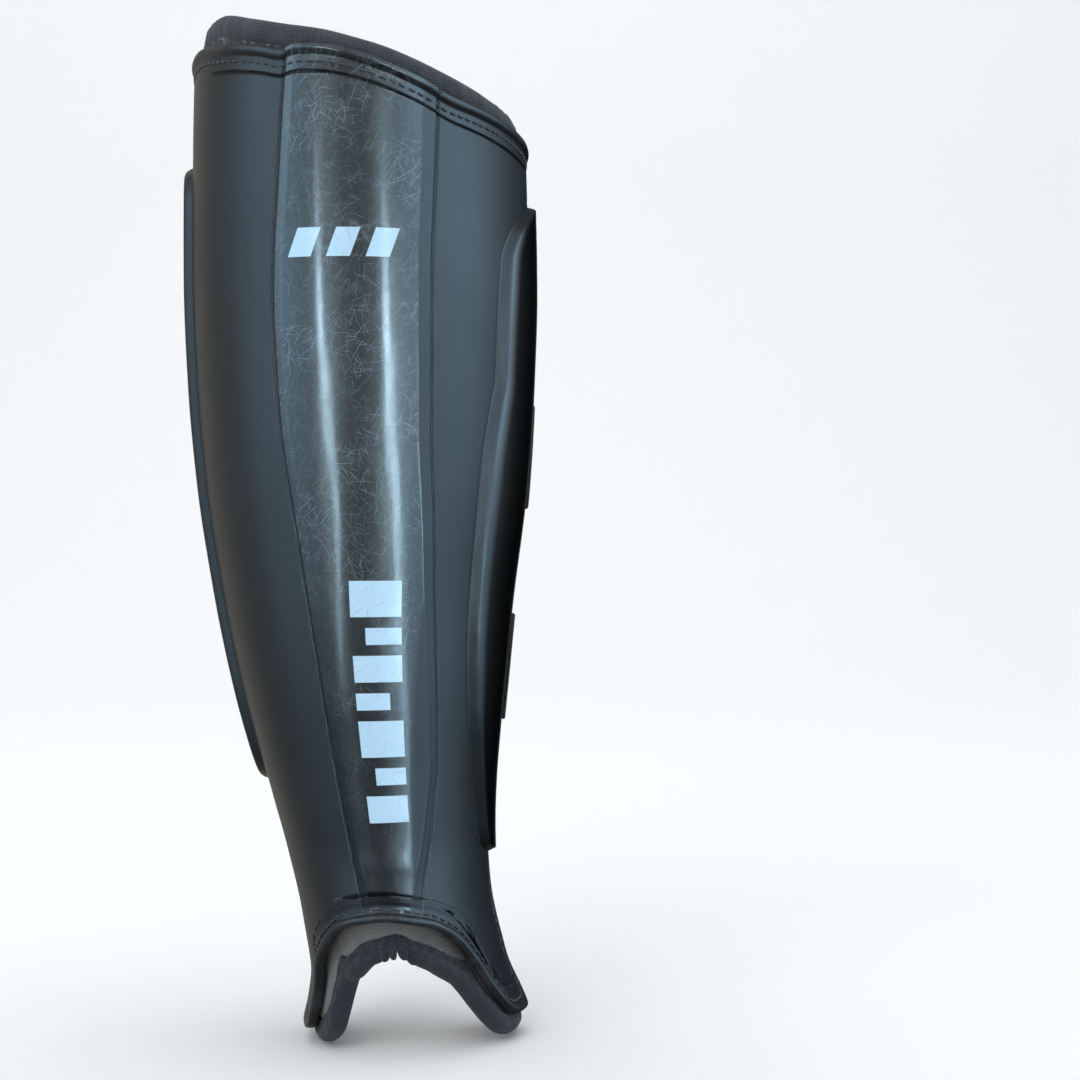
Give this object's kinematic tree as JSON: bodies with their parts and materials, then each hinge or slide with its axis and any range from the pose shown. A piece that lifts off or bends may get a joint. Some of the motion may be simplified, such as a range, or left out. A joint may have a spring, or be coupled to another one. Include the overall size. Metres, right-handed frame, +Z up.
{
  "type": "shin guard",
  "caption": "Field hockey shin guard: a raised-panel moulded shell over a foam core and bound liner, with elastic hook-and-loop calf straps.",
  "frame": {"origin": "on the axis of the leg at calf height, near the height of its ankle tips", "axes": "+Z up the leg from ankle to knee, the front of the guard faces -Y, +X is the inner (medial) side"},
  "size_m": [0.1127, 0.1083, 0.3112],
  "materials": {
    "shell": "gloss moulded plastic, satin at the sides, fine scratches",
    "core_foam": "closed-cell foam",
    "liner_foam": "grey knit over foam",
    "lining": "black brushed knit",
    "binding": "black woven tape",
    "thread": "black bonded thread",
    "print": "pale blue transfer film",
    "strap_elastic": "black woven elastic",
    "hook_tape": "moulded hook tape",
    "loop_tape": "brushed loop tape"
  },
  "bodies": {
    "guard": {"outer_shell": "shell", "foam_core": "core_foam", "liner_pad": "liner_foam", "lining_fabric": "lining", "top_binding": "binding", "bottom_binding": "binding", "lateral_binding": "binding", "medial_binding": "binding", "top_stitching": "thread", "bottom_stitching": "thread", "lateral_stitching": "thread", "medial_stitching": "thread", "upper_print": "print", "lower_print": "print", "upper_strap_anchor": "strap_elastic", "lower_strap_anchor": "strap_elastic", "upper_loop_patch": "loop_tape", "lower_loop_patch": "loop_tape"},
    "upper_strap": {"upper_strap_band": "strap_elastic"},
    "upper_tab": {"upper_strap_tab": "strap_elastic", "upper_hook_pad": "hook_tape"},
    "lower_strap": {"lower_strap_band": "strap_elastic"},
    "lower_tab": {"lower_strap_tab": "strap_elastic", "lower_hook_pad": "hook_tape"}
  },
  "joints": [
    {"name": "upper_strap_swing", "type": "hinge", "parent": "guard", "child": "upper_strap", "pos_m": [-0.04789, 0.0321, 0.178], "axis": [0, 0, 1], "range_deg": [0, 120]},
    {"name": "upper_tab_peel", "type": "hinge", "parent": "upper_strap", "child": "upper_tab", "pos_m": [0.0493, 0.0321, 0.178], "axis": [0, 0, 1], "range_deg": [0, 80]},
    {"name": "lower_strap_swing", "type": "hinge", "parent": "guard", "child": "lower_strap", "pos_m": [-0.03647, 0.02118, 0.11], "axis": [0, 0, 1], "range_deg": [0, 120]},
    {"name": "lower_tab_peel", "type": "hinge", "parent": "lower_strap", "child": "lower_tab", "pos_m": [0.04316, 0.02118, 0.11], "axis": [0, 0, 1], "range_deg": [0, 80]}
  ]
}
